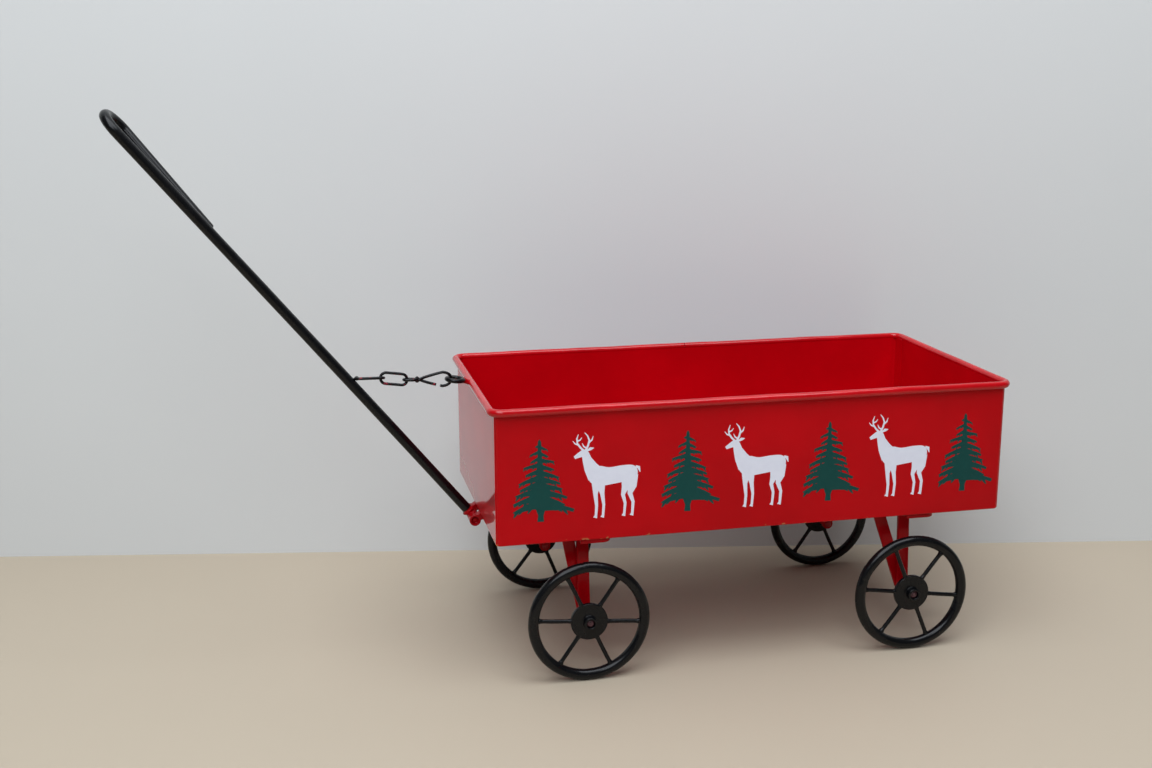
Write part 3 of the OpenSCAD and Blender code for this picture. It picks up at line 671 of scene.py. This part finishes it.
# ---- wheels ----
# A wheel is a ring bent from round rod and butt welded, six thin spokes welded to it, and a turned
# hub: a disc on a boss whose outer end has a pocket for the axle's head. All are sprayed black.
def black_enamel(name, flecks=0.0, red_start=None, red_line=None):
    """Sprayed black enamel. It is near black with a soft gloss that varies over about 10 mm, slight
    runs of 8 mm and sub-millimetre dust. Chain pieces have 3 mm red flecks, drawn coarse to show,
    and the handle's foot is red up to a ragged line, from spraying next to the red parts."""
    material, tree, shader = new_material(name)
    place = add_node(tree, "ShaderNodeTexCoord").outputs["Object"]
    cloud = add_node(tree, "ShaderNodeTexNoise", {"Scale": grain(10.5), "Detail": 4.0},
                     {"Vector": place})
    tone = add_node(tree, "ShaderNodeMix", {"data_type": "RGBA", "A": linear("#040405"),
                                            "B": linear("#0D0E11")},
                    {"Factor": cloud.outputs["Fac"]})
    top = tone.outputs["Result"]
    if flecks:
        specks = add_node(tree, "ShaderNodeTexNoise", {"Scale": grain(3), "Detail": 3.0},
                          {"Vector": place})
        limit = add_node(tree, "ShaderNodeMapRange",
                         {"From Min": 0.66 - flecks, "From Max": 0.70 - flecks},
                         {"Value": specks.outputs["Fac"]})
        speckled = add_node(tree, "ShaderNodeMix", {"data_type": "RGBA", "B": linear("#8A1428")},
                            {"Factor": limit.outputs["Result"]})
        tree.links.new(top, speckled.inputs["A"])
        top = speckled.outputs["Result"]
    if red_start:
        offset = add_node(tree, "ShaderNodeVectorMath", {"operation": "SUBTRACT"})
        tree.links.new(place, offset.inputs[0])
        offset.inputs[1].default_value = red_start
        along = add_node(tree, "ShaderNodeVectorMath", {"operation": "DOT_PRODUCT"})
        tree.links.new(offset.outputs["Vector"], along.inputs[0])
        along.inputs[1].default_value = red_line
        ragged = add_node(tree, "ShaderNodeTexNoise", {"Scale": grain(2.4), "Detail": 3.0},
                          {"Vector": place})
        shifted = add_node(tree, "ShaderNodeMath", {"operation": "MULTIPLY_ADD"})
        tree.links.new(ragged.outputs["Fac"], shifted.inputs[0])
        shifted.inputs[1].default_value = 2.2 * MM
        tree.links.new(along.outputs["Value"], shifted.inputs[2])
        fade = add_node(tree, "ShaderNodeMapRange", {"From Min": 7.4 * MM, "From Max": 7.0 * MM},
                        {"Value": shifted.outputs["Value"]})
        dipped = add_node(tree, "ShaderNodeMix", {"data_type": "RGBA", "B": linear("#A8000B")},
                          {"Factor": fade.outputs["Result"]})
        tree.links.new(top, dipped.inputs["A"])
        top = dipped.outputs["Result"]
    tree.links.new(top, shader.inputs["Base Color"])
    runs = add_node(tree, "ShaderNodeTexNoise", {"Scale": grain(7.7), "Detail": 2.0},
                    {"Vector": place})
    dust = add_node(tree, "ShaderNodeTexNoise", {"Scale": grain(0.77), "Detail": 2.0},
                    {"Vector": place})
    bump = add_node(tree, "ShaderNodeBump", {"Strength": 0.25, "Distance": 0.25 * MM},
                    {"Height": runs.outputs["Fac"]})
    fine = add_node(tree, "ShaderNodeBump", {"Strength": 0.12, "Distance": 0.05 * MM},
                    {"Height": dust.outputs["Fac"], "Normal": bump.outputs["Normal"]})
    tree.links.new(fine.outputs["Normal"], shader.inputs["Normal"])
    gloss = add_node(tree, "ShaderNodeMapRange", {"To Min": 0.2, "To Max": 0.34},
                     {"Value": cloud.outputs["Fac"]})
    tree.links.new(gloss.outputs["Result"], shader.inputs["Roughness"])
    set_inputs(shader, IOR=1.34, Specular_IOR_Level=0.35, Coat_Weight=0.15, Coat_Roughness=0.06)
    return material


wheel_paint = black_enamel("black_enamel_wheels")
disc_r = 12.5 * MM
disc_half = 1.5 * MM
boss_r = 4.35 * MM
pocket_r = 2.8 * MM
pocket_t = 2 * MM
bore_r = axle_r + 0.05 * MM
spoke_r = 1.4 * MM
turn_steps = 150
spoke_steps = 24
# half the angle of the seam in a ring
weld_gap = 0.3
# one row a wheel: end, hand, side, angle of its first spoke, angle of its ring's weld
wheels = (("front", "left", 1, 5, 84), ("front", "right", -1, 8, 140),
          ("rear", "left", 1, 8, 19), ("rear", "right", -1, 5, 62))
for end, hand, side, phase, weld in wheels:
    body = "wheel_%s_%s" % (end, hand)
    ring_low, ring_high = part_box(body + "_ring")
    hub_low, hub_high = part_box(body + "_hub")
    rod = (ring_high.y - ring_low.y) / 2
    line_r = (ring_high.x - ring_low.x) / 2 - rod
    centre = (ring_low + ring_high) / 2
    points, radii = [], []
    for i in range(turn_steps + 1):
        a = radians(weld + weld_gap + (360 - 2 * weld_gap) * i / turn_steps)
        from_end = min(i, turn_steps - i)
        # one end stands a quarter of a millimetre proud of the other at the weld
        step = 0.25 * MM if i < 6 else 0
        out = line_r + step + 0.08 * MM * sin(3 * a + phase)
        points.append(centre + Vector((cos(a) * out, 0.12 * MM * sin(2 * a + weld), sin(a) * out)))
        radii.append((0.955, 0.985)[from_end] if from_end < 2 else 0.995 + 0.006 * sin(7 * a))
    bm = tube(points, rod * 0.995, sides=32, radii=radii)
    a = radians(weld)
    plug = [centre + Vector((cos(a + d), 0, sin(a + d))) * line_r
            for d in (-0.05, -0.02, 0, 0.02, 0.05)]
    join(bm, tube(plug, rod, sides=32, radii=[0.8, 0.90, 0.94, 0.90, 0.8]))
    finish_piece(bm, body + "_ring_rod", body, wheel_paint, [body + "_ring"],
                 smooth=60)

    bm = bmesh.new()
    for k in range(6):
        a = radians(phase + 60 * k)
        start, stop = disc_r - 1.2 * MM, line_r - rod * 0.55
        points, radii = [], []
        for i in range(spoke_steps + 1):
            t = i / spoke_steps
            out = start + (stop - start) * t
            bow = 0.15 * MM * sin(pi * t) * sin(k * 2.1 + phase)
            points.append(centre + Vector((cos(a) * out - sin(a) * bow, 0.1 * MM * sin(k + t * 3),
                                           sin(a) * out + cos(a) * bow)))
            # a fillet of weld flares the rod at both ends
            hub_flare = 0.30 * exp(-((out - disc_r) / (0.9 * MM)) ** 2)
            ring_flare = 0.38 * exp(-((out - line_r + rod) / (1.1 * MM)) ** 2)
            radii.append(1 + hub_flare + ring_flare + 0.02 * sin(i * 1.9 + k))
        join(bm, tube(points, spoke_r, sides=20, radii=radii))
    finish_piece(bm, body + "_spoke_rods", body, wheel_paint, [body + "_spokes"],
                 smooth=60)

    boss_in = min(abs(hub_low.y), abs(hub_high.y))
    boss_out = max(abs(hub_low.y), abs(hub_high.y))
    mid_y = abs(centre.y)
    hub = [(bore_r, boss_in), (boss_r, boss_in), (boss_r, mid_y - disc_half),
           (disc_r, mid_y - disc_half), (disc_r, mid_y + disc_half), (boss_r, mid_y + disc_half),
           (boss_r, boss_out), (pocket_r, boss_out), (pocket_r, boss_out - pocket_t),
           (bore_r, boss_out - pocket_t)]
    bm = turned(softened(hub, 0.6 * MM), centre.x, centre.z, side)
    finish_piece(bm, body + "_hub_turned", body, wheel_paint, [body + "_hub"],
                 smooth=50)


# ---- hitch ----
# Under the front edge a bracket carries two barrel knuckles; the handle's own knuckle turns between
# them on a pin whose ends sit back inside the barrels. All of it is red like the tray.
joint_at = {j["name"]: Vector(j["pos_m"]) for j in frame["joints"]}
hitch = joint_at["handle_hinge"]
# the hitch's enamel is a darker red than the tray's: painted shade under the front edge
hitch_enamel_with_painted_shade = red_enamel("red_enamel_hitch_painted_shade", wave=0.3, lit="#B4000D", deep="#8C0009")
bm = cad_copy("hitch_bracket")
round_edges(bm, corner_edge, 0.4 * MM, 4)
finish_piece(bm, "hitch_bracket_barrels", "tray", hitch_enamel_with_painted_shade, ["hitch_bracket"])

pin_low, pin_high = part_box("hitch_pin")
pin_r = (pin_high.x - pin_low.x) / 2
pin_end = pin_high.y
pin = [(0, -pin_end), (pin_r * 0.7, -pin_end + 0.15 * MM), (pin_r, -pin_end + 0.6 * MM),
       (pin_r, pin_end - 0.6 * MM), (pin_r * 0.7, pin_end - 0.15 * MM), (0, pin_end)]
bm = turned(softened(pin, 0.3 * MM, closed=False), hitch.x, hitch.z, closed=False, steps=48)
finish_piece(bm, "hitch_pin_turned", "tray", hitch_enamel_with_painted_shade, ["hitch_pin"], smooth=50)

knuckle_low, knuckle_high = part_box("handle_knuckle")
knuckle_r = (knuckle_high.x - knuckle_low.x) / 2
knuckle_y = knuckle_high.y
barrel = [(pin_r + 0.05 * MM, -knuckle_y), (knuckle_r, -knuckle_y), (knuckle_r, knuckle_y),
          (pin_r + 0.05 * MM, knuckle_y)]
bm = turned(softened(barrel, 0.5 * MM), hitch.x, hitch.z)
handle_lean = 50.7
rod_frame = Matrix.Translation(hitch) @ Matrix.Rotation(radians(-handle_lean), 4, "Y")
rod_r = 3.5 * MM
# a bead of weld runs round the rod where it meets its knuckle
collar_steps = 48
collar = []
for i in range(collar_steps):
    a = tau * i / collar_steps
    up = 4.3 * MM + 0.25 * MM * sin(5 * a)
    collar.append(rod_frame @ Vector((up, cos(a) * rod_r, sin(a) * rod_r)))
join(bm, tube(collar, 1.0 * MM, closed=True, sides=16,
              radii=[1 + 0.12 * sin(i * 1.3) + 0.08 * sin(i * 0.6) for i in range(collar_steps)]))
finish_piece(bm, "handle_knuckle_barrel", "handle", hitch_enamel_with_painted_shade, ["handle_knuckle"])


# ---- handle rod ----
# One rod is bent at its top into a narrow drop-shaped hand loop, and its end is welded back on to
# the rod. It is black, with its foot dipped in red when the hitch was sprayed.
main_l = 343 * MM
hand_r = 12.5 * MM
return_s = 262 * MM
return_gap = 7.2 * MM
back = main_l - return_s
far = sqrt(back ** 2 + (hand_r - return_gap) ** 2)
return_l = sqrt(far ** 2 - hand_r ** 2)
over = atan2(hand_r - return_gap, back) + asin(hand_r / far)
loop_twist = 5
loop_frame = rod_frame @ Matrix.Rotation(radians(-loop_twist), 4, "X")
# the rod starts inside its knuckle, runs straight, turns past a half circle and closes in on itself
foot = 2.6 * MM
rod_steps = 90
bend_steps = 56
return_steps = 24
rod_line = [Vector((foot + (main_l - foot) * i / rod_steps, 0, 0)) for i in range(rod_steps + 1)]
for i in range(1, bend_steps + 1):
    a = pi / 2 - (pi + over) * i / bend_steps
    rod_line.append(Vector((main_l + hand_r * cos(a), -hand_r + hand_r * sin(a), 0)))
last = rod_line[-1]
home = Vector((-cos(over), sin(over), 0))
rod_line += [last + home * return_l * i / return_steps for i in range(1, return_steps + 1)]
rod_points, rod_radii = [], []
for i, p in enumerate(rod_line):
    bow = 0.25 * MM * sin(p.x * 13) * min(1, p.x / (40 * MM))
    rod_points.append(loop_frame @ (p + Vector((0, 0, bow))))
    rod_radii.append(0.995 + 0.006 * sin(i * 0.37))
rod_points.append(loop_frame @ (rod_line[-1] + home * 0.9 * MM))
rod_radii.append(0.80)
bm = tube(rod_points, rod_r, sides=36, radii=rod_radii)
# a 13 mm run of weld fills the groove between the two rods on each face, and tapers off up the loop
tip = rod_line[-1]
weld_steps = 20
for face in (-1, 1):
    run, run_radii = [], []
    for i in range(weld_steps + 1):
        t = i / weld_steps
        run.append(loop_frame @ Vector((tip.x - 1.5 * MM + 13 * MM * t,
                                        -return_gap / 2 - 0.25 * MM * t,
                                        face * (1.7 + 0.12 * sin(i)) * MM)))
        run_radii.append(0.35 + 0.75 * sin(pi * min(1, i / 8 + 0.1) / 2) * (1 - t ** 4 * 0.7)
                         + 0.10 * sin(i * 1.7))
    join(bm, tube(run, 1.5 * MM, sides=16, radii=run_radii))
up_rod = rod_frame.to_3x3() @ Vector((1, 0, 0))
rod_paint = black_enamel("black_enamel_handle", red_start=hitch, red_line=up_rod)
finish_piece(bm, "handle_rod_bent", "handle", rod_paint,
             ["handle_rod", "loop_bend", "loop_return"], smooth=60)


# ---- chain ----
# A half link is welded to the rod, a closed oval link hangs in it, and a figure-of-eight wire hook
# joins that to the ring on the rim. The wire is bent cold, black, with flecks of red overspray.
def oval(length, width, radius, wander):
    """The centre line of an oval link, from x = 0 to its length, with a slight hand-bent waver."""
    bend = width / 2
    points = []
    for centre_x, first in ((bend, 90), (length - bend, -90)):
        for i in range(25):
            a = radians(first + 180 * i / 24)
            points.append(Vector((centre_x + bend * cos(a), bend * sin(a), 0)))
        end_x = length - bend if first == 90 else bend
        start_x = centre_x
        y = -bend if first == 90 else bend
        points += [Vector((start_x + (end_x - start_x) * i / 10, y, 0)) for i in range(1, 10)]
    return [p + Vector((0, wander * radius * sin(i * 0.31), wander * radius * sin(i * 0.19)))
            for i, p in enumerate(points)]


chain_paint = black_enamel("black_enamel_chain", flecks=0.035)
wire_r = 1 * MM
reach = wire_r + 0.15 * MM
link_in = joint_at["link_swing"]
hook_at = joint_at["hook_swing"]
chain_line = (link_in - hook_at).normalized()
rod_weld = hitch + Vector((77.2 * MM, 0, 100.9 * MM))
first_roll = 12.8
free_roll = 100
out_line = rod_weld - link_in
link_frame = (Matrix.Translation(link_in) @ Matrix.Rotation(-atan2(out_line.z, out_line.x), 4, "Y")
              @ Matrix.Rotation(radians(first_roll), 4, "X"))
link_w = 7.4 * MM
bm = tube([link_frame @ p for p in oval(out_line.length, link_w, wire_r, 0.05)], wire_r * 0.99,
          closed=True, sides=18)
# a 6 mm bead of weld across the link's end holds it to the rod
lump_steps = 12
lump, lump_radii = [], []
for i in range(lump_steps + 1):
    t = i / lump_steps
    lump.append(link_frame @ Vector((out_line.length - 1.2 * MM + 0.2 * MM * sin(i),
                                     (t - 0.5) * 6 * MM, 0.3 * MM)))
    lump_radii.append(0.45 + 0.55 * sin(pi * t) + 0.07 * sin(i * 2.3))
join(bm, tube(lump, 1.5 * MM, sides=14, radii=lump_radii))
finish_piece(bm, "handle_link_wire", "handle", chain_paint, ["handle_link"],
             smooth=60)

link_l = (link_in - hook_at).length + 4 * reach
free_frame = (Matrix.Translation(hook_at - chain_line * 2 * reach)
              @ Matrix.Rotation(-atan2(chain_line.z, chain_line.x), 4, "Y")
              @ Matrix.Rotation(radians(free_roll), 4, "X"))
bm = tube([free_frame @ p for p in oval(link_l, link_w, wire_r, 0.04)], wire_r * 0.99,
          closed=True, sides=18)
finish_piece(bm, "chain_link_wire", "chain_link", chain_paint, ["chain_link"],
             smooth=60)

ring_low, ring_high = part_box("chain_ring")
ring_at = (ring_low + ring_high) / 2
ring_wire = 1.6 * MM
ring_r = (ring_high.y - ring_low.y) / 2 - ring_wire
ring_tilt = radians(6.2)
ring_edge = ring_at + Vector((cos(ring_tilt), 0, sin(ring_tilt))) * ring_r
to_hook = hook_at - ring_edge
# the hook's two loops: length and half height of each
small_l = 9.5 * MM
small_h = 3 * MM
hook_room = 0.25 * MM
big_l = to_hook.length + ring_wire + wire_r + hook_room - small_l
big_h = 5 * MM
hook_frame = (Matrix.Translation(hook_at) @ Matrix.Rotation(-atan2(to_hook.z, to_hook.x), 4, "Y")
              @ Matrix.Scale(-1, 4, (1, 0, 0)))


def hook_point(a):
    """A point of the figure of eight, as a turns once round it. q is 1 at the big loop's end, 0 where
    the arms cross and -1 at the small loop's end, and the small loop is rolled out of the plane."""
    q = cos(a)
    t = min(1, max(0, (0.12 - q) / 0.3))
    roll = radians(85) * t * t * (3 - 2 * t)
    if q >= 0:
        length, half, opening = big_l, big_h, min(1, q / 0.75) ** 0.9
    else:
        length, half, opening = small_l, small_h, -sin(pi / 2 * min(1, -q / 0.4))
    hand = 1 if sin(a) >= 0 else -1
    rise = half * hand * opening * sqrt(max(0, 1 - q ** 8))
    # each arm passes the other with this much room to its own side
    shift = 1.2 * MM * hand * exp(-(q / 0.16) ** 2)
    return Vector((small_l + length * q, rise * sin(roll) + shift * cos(roll),
                   rise * cos(roll) - shift * sin(roll)))


# the wire starts under the big loop and stops 9 degrees short of its start, which leaves the mouth
hook_steps = 288
hook_line = []
for i in range(hook_steps + 1):
    hook_line.append(hook_frame @ hook_point(radians(-57 - 351 * i / hook_steps)))
bm = tube(hook_line, wire_r * 0.99, sides=18,
          radii=[0.90] + [1 + 0.01 * sin(i * 0.23) for i in range(hook_steps - 1)] + [0.90])
finish_piece(bm, "chain_hook_wire", "chain_hook", chain_paint, ["chain_hook"],
             smooth=60)


# ---- chain ring ----
# A small ring of thicker wire stands out from the middle of the front rim, held by a lump of weld
# that was sprayed red with the tray.
ring_steps = 72
ring_line = []
for i in range(ring_steps):
    a = tau * i / ring_steps
    flat = Vector((ring_r * cos(a), ring_r * sin(a), 0.05 * MM * sin(3 * a)))
    ring_line.append(ring_at + Matrix.Rotation(-ring_tilt, 3, "Y") @ flat)
bm = tube(ring_line, ring_wire * 0.99, closed=True, sides=24)
ring_paint = black_enamel("black_enamel_ring", flecks=0.02)
finish_piece(bm, "chain_ring_wire", "tray", ring_paint, ["chain_ring"], smooth=60)

weld_start = Vector((tray_x + bead_x, 0, rim_z))
weld_stop = ring_at - Vector((cos(ring_tilt), 0, sin(ring_tilt))) * (ring_r - 0.4 * MM)
# the lump is waisted in the middle, drawn in at the ring and dimpled all over
lump_steps = 16
lump_radii = [1.12 - 0.32 * sin(pi * i / lump_steps) + 0.04 * sin(i * 2.1)
              for i in range(lump_steps + 1)]
lump_radii[-1] -= 0.3
bm = tube([weld_start.lerp(weld_stop, i / lump_steps) for i in range(lump_steps + 1)], 2.2 * MM,
          sides=24, radii=lump_radii)
for v in bm.verts:
    dimple = Vector((sin(v.co.y * 2100), sin(v.co.z * 1900), sin(v.co.x * 2300 + v.co.y * 900)))
    v.co += dimple * 0.12 * MM
# the lump has the hitch's darker red, which is painted shade
finish_piece(bm, "ring_weld_lump", "tray", hitch_enamel_with_painted_shade, ["ring_weld"], smooth=70)


# ---- rim wire ----
# The stiffening wire is rolled up inside the rim and never painted; only its ends could be seen, in
# the rim's butt joint.
def drawn_wire():
    """Bare drawn steel wire: grey metal with faint 2 mm streaks of oil and dark scale."""
    material, tree, shader = new_material("bare_drawn_wire")
    place = add_node(tree, "ShaderNodeTexCoord").outputs["Object"]
    streak = add_node(tree, "ShaderNodeTexNoise", {"Scale": grain(1.7), "Detail": 3.0},
                      {"Vector": place})
    tone = add_node(tree, "ShaderNodeMix", {"data_type": "RGBA", "A": linear("#8E8E92"),
                                            "B": linear("#5E5C5A")},
                    {"Factor": streak.outputs["Fac"]})
    tree.links.new(tone.outputs["Result"], shader.inputs["Base Color"])
    set_inputs(shader, Metallic=1.0, Roughness=0.4)
    return material


wire_node = frame["nodes"]["rim_wire"]
wire_node.data.materials.clear()
wire_node.data.materials.append(drawn_wire())
